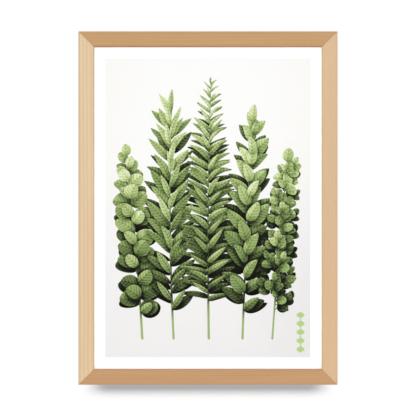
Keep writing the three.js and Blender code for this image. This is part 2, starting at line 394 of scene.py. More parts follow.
def moulding_section():
    """The section as points (u, d): u is out from the sight edge and d is back from the front
    face. It runs along the face, back down the outer side and home through the rebate."""
    face = np.linspace(SIGHT_ROUND, FACE - FRONT_ROUND, FACE_STEPS)[1:-1]
    outer = np.linspace(FRONT_ROUND, DEPTH - BACK_ROUND, FACE_STEPS)[1:-1]
    back = np.linspace(FACE - BACK_ROUND, REBATE + INNER_ROUND, FACE_STEPS)[1:-1]
    return np.concatenate([
        arc((SIGHT_ROUND, SIGHT_ROUND), SIGHT_ROUND, 180, 270, 8),
        np.stack([face, np.zeros_like(face)], axis=1),
        arc((FACE - FRONT_ROUND, FRONT_ROUND), FRONT_ROUND, 270, 360, 8),
        np.stack([np.full_like(outer, FACE), outer], axis=1),
        arc((FACE - BACK_ROUND, DEPTH - BACK_ROUND), BACK_ROUND, 0, 90, 5),
        np.stack([back, np.full_like(back, DEPTH)], axis=1),
        arc((REBATE + INNER_ROUND, DEPTH - INNER_ROUND), INNER_ROUND, 90, 180, 3),
        [[REBATE, LIP], [0, LIP]],
    ])


section = moulding_section()
print(f"the section has {len(section)} points")

# %% Carry the section along a side
MITRE_GAP = 0.03 * MM
MITRE_EASE = 0.16 * MM
STATIONS = 24
SIGHT_SHADE_FLAT = 0.4 * MM
SIGHT_SHADE_REACH = 1.3 * MM
OUTER_SHADE_REACH = 1.6 * MM


def drawn_in(outline, amount):
    """A closed outline moved inwards by amount, along the mean of each corner's two normals."""
    before = outline - np.roll(outline, 1, axis=0)
    after = np.roll(outline, -1, axis=0) - outline
    along = before / np.linalg.norm(before, axis=1, keepdims=True)
    along = along + after / np.linalg.norm(after, axis=1, keepdims=True)
    along /= np.linalg.norm(along, axis=1, keepdims=True)
    return outline + amount * np.stack([-along[:, 1], along[:, 0]], axis=1)


def rail(side, half_opening, out, look):
    """A rail: the section at each station, sheared so that its ends make the mitre, then turned
    about Y to its side of the frame. Stations run from -1 to 1 along the rail. The three rows at
    each end lie close together: the cut, drawn in, then the full section twice."""
    share = np.concatenate([[-1, -1], np.linspace(-1, 1, STATIONS), [1, 1]])
    inset = np.zeros_like(share)
    inset[[1, -2]] = MITRE_EASE
    inset[[2, -3]] = 2 * MITRE_EASE
    rows = np.repeat(section[None], len(share), axis=0)
    rows[[0, -1]] = drawn_in(section, MITRE_EASE)
    u, d = rows[..., 0], rows[..., 1]
    along = share[:, None] * (half_opening + u - MITRE_GAP - inset[:, None])
    turn = math.radians(look["turn"])
    x = along * math.cos(turn) + (u + out) * math.sin(turn)
    z = (u + out) * math.cos(turn) - along * math.sin(turn)
    points = np.stack([x, FRONT_Y + d, MIDDLE_Z + z], axis=-1)
    piece = new_piece(f"rail_{side}_wood", points, tube_faces(len(share), len(section)))
    store(piece, "plank_place", np.stack([u, d, along + look["cut_at"]], axis=-1).reshape(-1, 3))
    # Both lines below are painted shade: a dark line along the sight edge where the lip meets the print, and
    # darker outer edges.
    sight = look["sight"] * np.clip(1 - (u - SIGHT_SHADE_FLAT) / SIGHT_SHADE_REACH, 0, 1) * (d < LIP + MM)
    outer = look["outer"] * np.clip(1 - (FACE - u) / OUTER_SHADE_REACH, 0, 1) * (d < 2 * MM)
    store(piece, "arris", np.maximum(sight, outer).ravel())
    return piece


# %% [markdown]
# The four rails get tones of their own: partly the boards' own colour, as no two boards are the same,
# and partly painted light, with the top and bottom rails painted darker and the left one lighter as the
# light catches them. `cut_at` is where in the plank each was cut, in metres, and `sight` and `outer` say
# how much painted shade darkens each rail's inner and outer edges.

# %% The four rails
LOOKS = {
    "top": dict(turn=0, cut_at=0.0, sight=1.0, outer=0.9, slot="oak_dark",
                pale=(171, 130, 80), deep=(159, 117, 67), bands=0.3),
    "bottom": dict(turn=180, cut_at=3.4, sight=1.0, outer=0.2, slot="oak_dark",
                   pale=(171, 131, 88), deep=(161, 119, 76), bands=0.25),
    "left": dict(turn=270, cut_at=5.1, sight=1.0, outer=1.0, slot="oak_pale",
                 pale=(198, 174, 140), deep=(187, 158, 122), bands=0.6),
    "right": dict(turn=90, cut_at=1.7, sight=0.1, outer=0.7, slot="oak_warm",
                  pale=(189, 159, 122), deep=(182, 150, 113), bands=0.3),
}

rails = []
for side, look in LOOKS.items():
    upright = side in ("left", "right")
    half, out = (OPENING_Z, OPENING_X) if upright else (OPENING_X, OPENING_Z)
    rails.append(rail(side, half, out, look))
    material = wood(f"oak_{side}", look["pale"], look["deep"], look["bands"])
    finish_piece(rails[-1], look["slot"], f"rail_{side}", material)

# %% [markdown]
# ## Slabs
#
# Sheets, boards, tabs and nails are all flat shapes with a thickness. Cut or stamped edges are
# never quite sharp, so a slab is four rings of points: the outline drawn in by a hair at the
# front, the full outline twice, and drawn in again at the back, with a flat cap at each end.

# %% A slab from an outline


def slab(name, outline, front, back, edge):
    """A closed plate. The outline is (x, z) points anticlockwise as seen from the front."""
    small = drawn_in(outline, edge)
    rings = [(small, front), (outline, front + edge), (outline, back - edge), (small, back)]
    points = np.array([[(x, y, z) for x, z in ring] for ring, y in rings])
    return new_piece(name, points, tube_faces(len(rings), len(outline)), smooth=False)


def sheet_slab(name, node, edge):
    """A rectangular sheet that fills its node's box."""
    low, high = low_high(node)
    corners = np.array([(low[0], low[2]), (high[0], low[2]), (high[0], high[2]), (low[0], high[2])])
    return slab(name, corners, low[1], high[1], edge)


# %% [markdown]
# ## The glass
#
# Picture glass is seen only by what it reflects. A full glass shader would bend light twice
# and stop the lamps from reaching the print, which renders slowly and dark. A pane is so thin
# that the bending cancels, so it is made of two plain parts: clear, mixed with a mirror by the
# Fresnel law, which is faint square on and strong at a slant. Only the side where light comes
# in reflects, or a slanting look would be trapped inside.

# %% Glass
GLASS_IOR = 1.45
GLASS_TINT = (0.997, 0.999, 0.998, 1)
GLASS_POLISH = 0.03
GLASS_EDGE = 0.2 * MM

glass_material, shader = new_material("picture_glass")
nodes = shader.id_data
clear = put(nodes, "ShaderNodeBsdfTransparent", {"Color": GLASS_TINT}).outputs[0]
mirror = put(nodes, "ShaderNodeBsdfAnisotropic", {"Roughness": GLASS_POLISH}).outputs[0]
facing = Number(put(nodes, "ShaderNodeFresnel", {"IOR": GLASS_IOR}).outputs[0])
from_inside = Number(put(nodes, "ShaderNodeNewGeometry").outputs["Backfacing"])
both = put(nodes, "ShaderNodeMixShader", {0: facing * (1.0 - from_inside), 1: clear, 2: mirror})
fill(nodes.nodes["Material Output"], {"Surface": both.outputs[0]})
nodes.nodes.remove(shader)
pane = sheet_slab("glass_pane", "glazing", GLASS_EDGE)
finish_piece(pane, "glazing", "glazing", glass_material)

# %% [markdown]
# ## What is drawn on the sheet
#
# The print is a botanical plate in greens: five kinds of foliage stand side by side, each on
# its own stem, as in a chart of specimens. Ink has no thickness, so leaves and stems are areas
# of one flat sheet and nothing stands on it. First they are only numbers, in a table with one
# row each. A leaf has a straight line from its base to its tip, a midrib that bows off it, and
# a width that grows and shrinks along it. A stem is an arc that gets thinner towards its tip.

# %% The table of leaves and stems
EDGE_STEPS = 13
STEM_TAPER = 0.7
FIELDS = ("kind", "x", "z", "angle", "length", "half", "bow", "roll", "base", "point", "lit", "tone")
LEAF, STEM, MARK = range(3)


def rows(**columns):
    """Rows of the table, in millimetres and radians. base and point are powers that say how
    round the foot of a leaf and how sharp its tip is. A stem's bow is how far it turns."""
    size = max(np.size(values) for values in columns.values())
    table = {"base": 0.5, "point": 0.5, **columns}
    return {key: np.broadcast_to(table.get(key, 0.0), size).astype(float) for key in FIELDS}


def joined(tables):
    """Several tables as one, in the order in which they are drawn."""
    return {key: np.concatenate([table[key] for table in tables]) for key in FIELDS}


def spine(table, along):
    """Points and headings on the line from foot to tip. A leaf's is straight. A stem's turns
    evenly, so it is an arc whose radius is the length over the turn."""
    start, run = table["angle"][:, None], table["length"][:, None] * along
    is_stem = table["kind"][:, None] == STEM
    turn = np.where(is_stem, table["bow"][:, None], 1.0)
    heading = start + np.where(is_stem, turn * along, 0.0)
    radius = table["length"][:, None] / turn
    x = np.where(is_stem, radius * (np.sin(heading) - np.sin(start)), run * np.cos(start))
    z = np.where(is_stem, radius * (np.cos(start) - np.cos(heading)), run * np.sin(start))
    return table["x"][:, None] + x, table["z"][:, None] + z, heading


def midrib(table, along):
    """How far a leaf's midrib stands off its straight line: a parabola."""
    return np.where(table["kind"][:, None] == STEM, 0.0, table["bow"][:, None] * 4 * along * (1 - along))


def peak(table):
    """The greatest value of along to the power base times what is left to the power point."""
    widest = table["base"] / (table["base"] + table["point"])
    return widest ** table["base"] * (1 - widest) ** table["point"]


def half_width(table, along):
    """Half the width: for a leaf that product over its peak, for a stem an even taper."""
    along = np.clip(along, 0, 1)
    leaf = along ** table["base"][:, None] * (1 - along) ** table["point"][:, None] / peak(table)[:, None]
    return table["half"][:, None] * np.where(table["kind"][:, None] == STEM, 1 - STEM_TAPER * along, leaf)


def outlines_of(table):
    """The outline of every row, anticlockwise from its foot, shape (rows, points, 2)."""
    step = (1 - np.cos(math.pi * np.linspace(0, 1, EDGE_STEPS))) / 2
    along = np.concatenate([step, step[::-1]])[None]
    sign = np.repeat([-1.0, 1.0], EDGE_STEPS)[None]
    x, z, heading = spine(table, along)
    off = midrib(table, along) + sign * half_width(table, along) * (1 + sign * table["roll"][:, None])
    return np.stack([x - off * np.sin(heading), z + off * np.cos(heading)], axis=-1)


def place_in(table, number, points):
    """Where points lie in their row: the share of its length, and how far off its line. These
    are the outline's sums backwards, so veins can follow the leaf."""
    row = {key: values[number] for key, values in table.items()}
    dx, dz = points[..., 0] - row["x"], points[..., 1] - row["z"]
    cos, sin = np.cos(row["angle"]), np.sin(row["angle"])
    is_stem = row["kind"] == STEM
    radius = row["length"] / np.where(is_stem, row["bow"], 1.0)
    across, up = dx + radius * sin, dz - radius * cos
    turned = np.arctan2(across * np.sign(radius), -up * np.sign(radius)) - row["angle"]
    turned = (turned + math.pi) % (2 * math.pi) - math.pi
    along = np.where(is_stem, turned * radius / row["length"], (dx * cos + dz * sin) / row["length"])
    off = np.where(is_stem, radius - np.sign(radius) * np.hypot(across, up), dz * cos - dx * sin)
    return along, off


# %% [markdown]
# ## Five specimens
#
# Foliage grows in three passes: dark leaves behind the stem, middle tones beside it and light
# ones in front. In each pass the leaves get smaller, steeper and lighter towards the tip. One
# kind carries its leaves on side shoots, which are small stems with leaves of their own. A
# seeded random draw varies every leaf a little, and always in the same way.

# %% How a leaf and a stem grow
rng = np.random.default_rng(23)
FOOT = -171.0
STEM_TONE = 0.72
LIGHT_FROM = np.array([-0.45, 0.89])
WIDEST = 1.08
BOW_FROM, BOW_TO = -0.02, 0.1
ROLL = 0.3
TONE_SPREAD = 0.07
LEAF_KINDS = {
    "round": dict(slim=0.9, base=0.5, point=0.55, turned=0.6),
    "lance": dict(slim=0.28, base=0.7, point=0.9, turned=0.8),
    "frond": dict(slim=0.24, base=0.35, point=0.75, turned=0.85),
    "oval": dict(slim=0.56, base=0.5, point=0.78, turned=0.7),
}


def leaves_on(stems, t, side, lean, length, kind, tone):
    """Leaves with their feet on stems, at shares t of the stems' length, each leaning off the
    stem's heading to the side +1 or -1. All may be arrays with a row for each stem."""
    x, z, heading = spine(stems, t)
    angle = (heading - side * lean).ravel()
    length, side, tone = (np.broadcast_to(v, heading.shape).ravel() for v in (length, side, tone))
    shape, size = LEAF_KINDS[kind], len(angle)
    upper = np.cos(angle) * LIGHT_FROM[1] - np.sin(angle) * LIGHT_FROM[0]
    return rows(
        kind=LEAF, x=x.ravel(), z=z.ravel(), angle=angle, length=length, lit=upper,
        half=length * shape["slim"] / 2 * rng.uniform(shape["turned"], WIDEST, size),
        bow=side * length * rng.uniform(BOW_FROM, BOW_TO, size), roll=rng.uniform(-ROLL, ROLL, size),
        base=shape["base"], point=shape["point"],
        tone=np.clip(tone + rng.normal(0, TONE_SPREAD, size), 0, 1),
    )


def stem_of(specimen):
    """The main stem of a specimen, a very slim arc that starts on the common foot line."""
    heading, bend = np.radians([specimen["heading"], specimen["bend"]])
    return rows(kind=STEM, x=specimen["x"], z=FOOT, angle=heading, length=specimen["height"],
                half=specimen["thick"] / 2, bow=bend, tone=STEM_TONE)


# %% How a specimen grows
UNEVEN = 0.3
FOOT_POWER, TIP_POWER = 4, 2.5
SMALLEST, LARGEST = 0.88, 1.08
LEAN_SPREAD = 0.09
SHOOT_HALF = 0.6
SHOOT_BOW_FROM, SHOOT_BOW_TO = 0.15, 0.5
SHOOT_TONE = 0.45
SHOOT_TONE_GAIN = 0.3
SHOOT_BARE = 0.22
SHOOT_LEAN, SHOOT_LEAN_FALL = 56, 14
SHOOT_LEAN_SPREAD = 0.1
SHOOT_LEAF_FALL, SHOOT_LEAF_POWER = 0.25, 0.5


def between(ends, share):
    """What lies at a share of the way from the first of two values to the second."""
    return ends[0] + (ends[1] - ends[0]) * share


def either_side(count):
    """The sides +1 and -1 by turns."""
    return np.where(np.arange(count) % 2 == 0, 1.0, -1.0)


def grow(specimen, layer):
    """The foliage of a specimen in one of the three passes, as a list of tables."""
    main, leaf, leaf_length = stem_of(specimen), specimen["leaf"], specimen["length"]
    count = round(layer["more"] * specimen["height"] / specimen["pitch"])
    steps = np.arange(count) + rng.uniform(-UNEVEN, UNEVEN, count)
    t = between((specimen["bare"], layer["top"]), steps / count)
    foot_size, tip_size = specimen["sizes"]
    size = 1 - (1 - foot_size) * (1 - t) ** FOOT_POWER - (1 - tip_size) * t ** TIP_POWER
    size = size * layer["scale"] * rng.uniform(SMALLEST, LARGEST, count)
    lean = np.radians(between(specimen["leans"], t) + layer["wider"])
    lean = lean + rng.normal(0, LEAN_SPREAD, count)
    tone = between(layer["tones"], t)
    side = either_side(count)
    if "shoot" not in specimen:
        return [leaves_on(main, t[None], side, lean, size * leaf_length, leaf, tone)]
    x, z, heading = spine(main, t[None])
    bow = side * rng.uniform(SHOOT_BOW_FROM, SHOOT_BOW_TO, count)
    shoots = rows(kind=STEM, x=x[0], z=z[0], angle=heading[0] - side * lean, half=SHOOT_HALF,
                  length=size * specimen["shoot"], bow=bow, tone=SHOOT_TONE + SHOOT_TONE_GAIN * tone)
    places = np.linspace(SHOOT_BARE, 1.0, specimen["leaves"])
    leans = np.where(places == 1.0, 0.0, np.radians(SHOOT_LEAN - SHOOT_LEAN_FALL * places))
    leans = leans + rng.normal(0, SHOOT_LEAN_SPREAD, (count, len(places)))
    lengths = leaf_length * size[:, None] ** SHOOT_LEAF_POWER * (1 - SHOOT_LEAF_FALL * places)
    sides = either_side(len(places))[None]
    return [shoots, leaves_on(shoots, places[None], sides, leans, lengths, leaf, tone[:, None])]


# %% [markdown]
# Each specimen is then a few measures, in millimetres and degrees. `bare` is how much of the
# stem has no leaves, as a share, and `pitch` is the room between two leaves. `leans` says how far
# leaves lean off the stem at its foot and at its tip, and `sizes` how big they are there beside
# the largest. A pass may have more or fewer leaves than one for each pitch, other sizes, leaves
# that lean wider or less, and tones of its own from the foot to the tip.

# %% Grow the row
SPECIMENS = [
    dict(x=-86, heading=93, bend=4, height=246, thick=3.2, bare=0.15,
         leaf="round", length=31, pitch=14, leans=(80, 44), sizes=(0.72, 0.5)),
    dict(x=-45, heading=93, bend=-5, height=304, thick=3.0, bare=0.13,
         leaf="lance", length=48, pitch=11.5, leans=(60, 28), sizes=(0.6, 0.62)),
    dict(x=1, heading=91, bend=-3, height=342, thick=3.2, bare=0.15,
         leaf="frond", length=45, pitch=6.2, leans=(82, 44), sizes=(0.5, 0.2)),
    dict(x=45, heading=88, bend=-2, height=292, thick=3.0, bare=0.13,
         leaf="oval", length=40, pitch=13, leans=(66, 30), sizes=(0.66, 0.55)),
    dict(x=84, heading=86, bend=-2, height=238, thick=2.6, bare=0.18,
         leaf="round", length=18, pitch=19, leans=(52, 30), sizes=(0.8, 0.6), shoot=22, leaves=4),
]
PASSES = [
    dict(more=1.0, scale=1.0, wider=10, tones=(0.12, 0.66), top=0.93),
    dict(more=1.0, scale=1.0, wider=0, tones=(0.30, 0.95), top=0.99),
    dict(more=0.6, scale=0.8, wider=-20, tones=(0.48, 1.0), top=0.98),
]
TIP = 0.98
TIP_TONE = 0.85

drawn = [table for specimen in SPECIMENS for table in grow(specimen, PASSES[0])]
drawn += [stem_of(specimen) for specimen in SPECIMENS]
drawn += [table for layer in PASSES[1:] for specimen in SPECIMENS for table in grow(specimen, layer)]
for specimen in SPECIMENS:
    size = specimen["length"] * (1.0 if "shoot" in specimen else specimen["sizes"][1])
    tip = np.array([[TIP]])
    drawn.append(leaves_on(stem_of(specimen), tip, 1.0, 0.0, size, specimen["leaf"], TIP_TONE))
print(f"{len(SPECIMENS)} specimens in {len(drawn)} tables")

# %% [markdown]
# ## A small ornament
#
# A printed plate often has a small device in a lower corner. Here it is a plain column of
# lozenges and dots in light green.

# %% The ornament
MARK_X, MARK_Z = 121.0, -184.0
MARK_PITCH = 11.2
MARK_COUNT = 5
LOZENGE = 8.4
LOZENGE_HALF = 5.2
DOT = 2.4

mark_z = MARK_Z + MARK_PITCH * np.arange(MARK_COUNT)
drawn.append(rows(kind=MARK, x=MARK_X, z=mark_z - LOZENGE / 2, angle=math.pi / 2, length=LOZENGE,
                  half=LOZENGE_HALF, base=1.0, point=1.0))
drawn.append(rows(kind=MARK, x=MARK_X, z=mark_z[:-1] + (MARK_PITCH - DOT) / 2, angle=math.pi / 2,
                  length=DOT, half=DOT / 2))
table = joined(drawn)
print(f"{len(table['x'])} leaves, stems and marks")

# %% [markdown]
# ## One flat sheet
#
# Overlapping leaves have to become areas that don't overlap, as in marquetry. Blender's
# Delaunay function does that: it takes all the outlines and gives triangles that never cross
# one, and says for each triangle which outlines it lies in. The last of them in drawing order
# is what shows. A grid of extra points keeps the triangles small, so that shading can vary
# across a leaf. Four sides and a back then close the sheet to a thin slab. The first two
# outlines are the paper's and the ground's, and those of the table's rows come after them.

# %% Cut the sheet into areas
BORDER = 14.1
OFF_CENTRE = np.array([-0.35, 1.0])
GRID_STEP = 3.1
NEARNESS = 1e-4
INSIDE_ONLY = 1
BEFORE_ROWS = 2

low, high = low_high("print_sheet")
sheet_half = (high - low)[[0, 2]] / 2 / MM
sheet_middle = (high + low)[[0, 2]] / 2
ground_half = np.array([OPENING_X, OPENING_Z]) / MM - BORDER


def box_outline(half, middle=0.0):
    """A rectangle about its middle, anticlockwise."""
    return middle + half * np.array([(-1, -1), (1, -1), (1, 1), (-1, 1)])


outlines = [box_outline(sheet_half), box_outline(ground_half, OFF_CENTRE), *outlines_of(table)]
grid = [np.arange(GRID_STEP / 2 - half, half, GRID_STEP) for half in ground_half]
extra = np.stack(np.meshgrid(*grid), axis=-1).reshape(-1, 2)

ends = np.cumsum([len(outline) for outline in outlines])
loops = [list(range(end - len(outline), end)) for end, outline in zip(ends, outlines)]
corners = [Vector(p) for p in np.concatenate(outlines + [extra])]
cut = geometry.delaunay_2d_cdt(corners, [], loops, INSIDE_ONLY, NEARNESS)
cut_corners, _, cut_areas, _, _, lies_in = cut
flat = np.array([tuple(p) for p in cut_corners])
triangles = np.array(cut_areas)
owner = np.array([max(numbers) for numbers in lies_in])
print(f"{len(triangles)} areas from {len(outlines)} outlines")

# %% Close the sheet to a slab
x, z = (sheet_middle + flat * MM).T
front = np.stack([x, np.full(len(flat), low[1]), z], axis=1)
ring = [int(np.argmin(np.linalg.norm(flat - corner, axis=1))) for corner in outlines[0]]
behind = front[ring] + (0, high[1] - low[1], 0)
first = len(front)
sides = [[ring[k], first + k, first + (k + 1) % 4, ring[(k + 1) % 4]] for k in range(4)]
faces = triangles.tolist() + sides + [[first + 3, first + 2, first + 1, first]]
sheet = new_piece("printed_sheet", np.concatenate([front, behind]), faces, smooth=False)

number = np.clip(owner - BEFORE_ROWS, 0, None)
inked = np.where(owner < BEFORE_ROWS, owner, table["kind"][number] + BEFORE_ROWS)
material_number = np.concatenate([inked, np.zeros(len(sides) + 1)])
sheet.data.polygons.foreach_set("material_index", material_number.astype(np.int32))
print(f"the sheet has {len(faces)} faces")

# %% [markdown]
# ## Where each area lies in its leaf
#
# Each corner of each triangle learns its place in its leaf, and each triangle its leaf's own
# values. Shade is worked out too: a leaf throws a soft shadow, a few millimetres wide, on what
# was drawn before it. That is what makes a flat drawing look deep.

# %% The shade
SHADE_REACH = 6.0
SHADE_SHIFT = np.array([0.9, -1.6])
SHADE_DEPTH = 0.6
SHADE_SOFT = 1.5
SHADE_LOW_DOWN, SHADE_HIGH_UP = 0.75, 0.3

points = flat[triangles]
middles = points.mean(axis=1)
light = np.ones(points.shape[:2])
for k in np.flatnonzero(table["kind"] != MARK):
    one = {key: values[k:k + 1] for key, values in table.items()}
    reach = one["length"][0] + 2 * SHADE_REACH
    near = np.hypot(middles[:, 0] - one["x"][0], middles[:, 1] - one["z"][0]) < reach
    under = np.flatnonzero((owner >= BEFORE_ROWS) & (number < k) & near)
    a, b = place_in(table, np.full((len(under), 3), k), points[under] - SHADE_SHIFT)
    inner = np.clip(a, 0, 1)
    beside = np.abs(b - midrib(one, inner)) - half_width(one, inner)
    gap = np.hypot(np.clip(beside, 0, None), (a - inner) * one["length"][0])
    depth = SHADE_DEPTH * np.minimum(1, one["half"][0] / SHADE_REACH)
    light[under] *= 1 - depth * np.clip(1 - gap / SHADE_REACH, 0, 1) ** SHADE_SOFT
height_share = (points[..., 1] - FOOT) / (2 * -FOOT)
shade = (1 - light) * between((SHADE_LOW_DOWN, SHADE_HIGH_UP), height_share)
print(f"shade of up to {shade.max():.2f}")

# %% Store the places


def per_face(*columns):
    """Three values of its row for each face, with zeros on the sides and back."""
    values = np.zeros((len(faces), 3))
    values[:len(triangles)] = np.stack([column[number] for column in columns], axis=-1)
    return values


along, off = place_in(table, np.repeat(number[:, None], 3, axis=1), points)
corner_place = np.zeros((len(sheet.data.loops), 3))
corner_place[:3 * len(triangles)] = np.stack([along, off, shade], axis=-1).reshape(-1, 3)
store(sheet, "leaf_place", corner_place, "CORNER")
store(sheet, "leaf_form", per_face(table["half"] / peak(table), table["bow"], table["roll"]), "FACE")
store(sheet, "leaf_curve", per_face(table["base"], table["point"], table["lit"]), "FACE")
store(sheet, "leaf_tone", per_face(table["tone"], table["length"], table["x"]), "FACE")

# %% [markdown]
# ## Paper and ground
#
# The sheet is heavy matte paper with a white border of 14 mm, trimmed a hair off centre as
# prints are. Its picture has an off-white ground, lightest near the top and greyer towards the
# lower corners.

# %% Paper
INK_WHITE = 0.79
TOOTH_SCALE = (2600, 2600, 2600)
CLOUD_SCALE = (22, 22, 22)
PAPER_LIGHT = (0.93, 0.93, 0.925, 1)
PAPER_DARK = (0.92, 0.92, 0.915, 1)

paper_tooth, given, result = new_group(
    "paper_tooth", [("Place", "Vector")], [("Height", "Float"), ("Mottle", "Float")])
cloud = noise(given["Place"], CLOUD_SCALE, detail=3.0)
fill(result, {"Height": noise(given["Place"], TOOTH_SCALE), "Mottle": ease(cloud, 0.3, 0.7)})


def printed(name):
    """A matte sheet with a fine tooth. Gives back its material, shader and faint mottle."""
    material, shader = new_material(name)
    values = {"Place": object_place(shader)}
    tooth = put(shader.id_data, "ShaderNodeGroup", values, node_tree=paper_tooth).outputs
    fill(shader, {"Roughness": 0.72, "Specular IOR Level": 0.04})
    bump(shader, tooth["Height"], strength=0.2, distance=0.02 * MM)
    return material, shader, Number(tooth["Mottle"])


paper_material, shader, mottle = printed("white_paper")
fill(shader, {"Base Color": mix(mottle, PAPER_LIGHT, PAPER_DARK)})
print(f"paper tooth: {len(paper_tooth.nodes)} nodes")

# %% Ground and ornament
FALL_FROM, FALL_TO = 0.12, -0.24
EDGE_FROM, RIGHT_FROM, EDGE_TO = 0.04, 0.03, 0.15
MOTTLE_SHARE = 0.3
MOTTLE_TINT = (0.985, 0.985, 0.98, 1)

ground_material, shader, mottle = printed("ground_ink")
x, z = parts(object_place(shader))[::2]
fall = ease(z, MIDDLE_Z + FALL_FROM, MIDDLE_Z + FALL_TO)
edge_fall = ease(calc("ABSOLUTE", x), EDGE_FROM, EDGE_TO)
ground = mix(edge_fall, rgb(251, 250, 249, INK_WHITE), rgb(249, 247, 245, INK_WHITE))
ground = mix(fall, ground, rgb(237, 234, 234, INK_WHITE))
ground = mix(fall * ease(x, RIGHT_FROM, EDGE_TO), ground, rgb(232, 229, 228, INK_WHITE))
fill(shader, {"Base Color": mix(mottle * MOTTLE_SHARE, ground, MOTTLE_TINT, "MULTIPLY")})
print(f"ground ink: {len(shader.id_data.nodes)} nodes")

mark_material, shader, mottle = printed("pale_green_ink")
pale = mix(mottle, rgb(186, 208, 140, INK_WHITE), rgb(178, 200, 130, INK_WHITE))
fill(shader, {"Base Color": pale})

# %% [markdown]
# ## Leaf ink
#
# The leaf's colour is one number, its tone, looked up on a scale from near-black to pale
# yellow-green. A leaf starts from its own tone. Its midrib is a fold: the half turned to the
# light gains and the other loses. Side veins slope up from the midrib, with the blade swelling
# pale between them. The base is darker, the rim has a light line, and fine strokes along the
# veins give the hand of a pencil. The shade takes away, but never all, so that a leaf deep
# inside still shows its veins.

# %% The scale of tones
TONES = [
    (0.00, (10, 10, 8)), (0.15, (36, 42, 26)), (0.34, (77, 90, 53)), (0.52, (115, 136, 79)),
    (0.68, (150, 171, 105)), (0.82, (181, 199, 134)), (0.93, (204, 217, 158)), (1.0, (226, 233, 194)),
]


def tone_scale(tone):
    """The colour of a tone: a ramp through TONES."""
    scale = put(tone.tree, "ShaderNodeValToRGB", {0: tone})
    ramp = scale.color_ramp
    while len(ramp.elements) < len(TONES):
        ramp.elements.new(0.5)
    for element, (position, colour) in zip(ramp.elements, TONES):
        element.position = position
        element.color = rgb(*colour, INK_WHITE)
    return scale.outputs[0]


def stored(shader, name):
    """The three numbers that the sheet stores under this name."""
    return parts(put(shader.id_data, "ShaderNodeAttribute", attribute_name=name).outputs["Vector"])


# %% The leaf ink
VEIN_PITCH = 4.6
VEIN_SLOPE, VEIN_CURL = 0.7, 0.25
RIB_DARK, RIB_INNER, RIB_OUTER = 0.16, 0.25, 0.8
VEIN_DARK, VEIN_SHARE = 0.06, 0.15
BASE_DARK, BASE_REACH = 0.22, 0.45
TIP_LIGHT, TIP_FROM = 0.05, 0.4
RIM_LIGHT, RIM_FROM, RIM_TO = 0.08, 0.80, 0.93
FOLD_LIGHT, FOLD_GAIN = 0.06, 0.08
QUILT = 0.11
STROKE = 0.22
STROKE_SCALE = (3.0, 0.1, 1.0)
SLIMMEST = 0.05
DEEP_DETAIL = 0.22

leaf_material, shader = printed("leaf_ink")[:2]
along, off, shade_in = stored(shader, "leaf_place")
girth, bow, roll = stored(shader, "leaf_form")
base, point, lit = stored(shader, "leaf_curve")
leaf_tone, length, leaf_seed = stored(shader, "leaf_tone")

left = calc("MAXIMUM", 1.0 - along, 0.0)
aside = off - bow * 4.0 * along * left
beside = calc("ABSOLUTE", aside)
sign = calc("SIGN", aside)
swell = calc("POWER", calc("MAXIMUM", along, 0.0), base) * calc("POWER", left, point)
width = calc("MAXIMUM", girth * swell, SLIMMEST)
out = calc("MINIMUM", beside / (width * (roll * sign + 1.0)), 1.0)

veins = (along * length - beside * (beside / girth * VEIN_CURL + VEIN_SLOPE)) / VEIN_PITCH
swelling = calc("COSINE", veins * (2 * math.pi)) * -0.5 + 0.5
pencil = put(shader.id_data, "ShaderNodeCombineXYZ", {0: veins, 1: beside, 2: leaf_seed}).outputs[0]

tone = leaf_tone + lit * sign * (out * FOLD_GAIN + FOLD_LIGHT)
tone = tone - ease(along, BASE_REACH, 0.0) * BASE_DARK + ease(along, TIP_FROM, 1.0) * TIP_LIGHT
tone = tone + ease(out, RIM_FROM, RIM_TO) * RIM_LIGHT
tone = tone + (swelling - 0.5) * QUILT + (noise(pencil, STROKE_SCALE) - 0.5) * STROKE
tone = tone - ease(beside, RIB_OUTER, RIB_INNER) * RIB_DARK
tone = tone - ease(swelling, VEIN_SHARE, 0.0) * VEIN_DARK
tone = calc("MAXIMUM", tone - shade_in, tone * DEEP_DETAIL)
fill(shader, {"Base Color": tone_scale(tone)})
print(f"leaf ink: {len(shader.id_data.nodes)} nodes")

# %% [markdown]
# Stems use the same scale of tones. A stem is round, so it is light along its left side and
# dark along its right, and it darkens where leaves shade it.

# %% The stem ink
STEM_ROUND = 0.1

stem_material, shader = printed("stem_ink")[:2]
off, shade_in = stored(shader, "leaf_place")[1:]
girth = stored(shader, "leaf_form")[0]
tone = stored(shader, "leaf_tone")[0] + off / girth * STEM_ROUND - shade_in
fill(shader, {"Base Color": tone_scale(tone)})

inks = (paper_material, ground_material, leaf_material, stem_material, mark_material)
finish_piece(sheet, "print", "print_sheet", *inks)

# %% [markdown]
# ## The back
#
# The back is plain and honest: a brown fibreboard, steel tabs pressed into the rebate, V-shaped
# nails across the mitres, a toothed hanger on two pins and a rubber button in each lower
# corner. A good back is what tells a real frame from a cut-out, so each of these small pieces
# gets soft edges and a metal, rubber or board finish of its own.

# %% Materials of the back


def speckled(name, light, dark, scale, rough, metal=0.0):
    """A finish that varies between two tones in fine specks, with a slight bump."""
    material, shader = new_material(name)
    specks = noise(object_place(shader), scale, detail=4.0, rough=0.7)
    colour = mix(ease(specks, 0.3, 0.7), light, dark)
    fill(shader, {"Base Color": colour, "Roughness": specks * 0.2 + rough, "Metallic": metal})
    bump(shader, specks, strength=0.3, distance=0.05 * MM)
    return material


zinc_material = speckled(
    "zinc_steel", light=(0.72, 0.73, 0.75, 1), dark=(0.55, 0.56, 0.58, 1),
    scale=(900, 900, 200), rough=0.25, metal=1.0)
brass_material = speckled(
    "brassed_steel", light=(0.86, 0.68, 0.36, 1), dark=(0.72, 0.54, 0.26, 1),
    scale=(200, 900, 900), rough=0.2, metal=1.0)
rubber_material = speckled(
    "bumper_rubber", light=rgb(58, 58, 60), dark=rgb(44, 44, 46),
    scale=(1200, 1200, 1200), rough=0.6)
print(f"{len(bpy.data.materials)} materials so far")

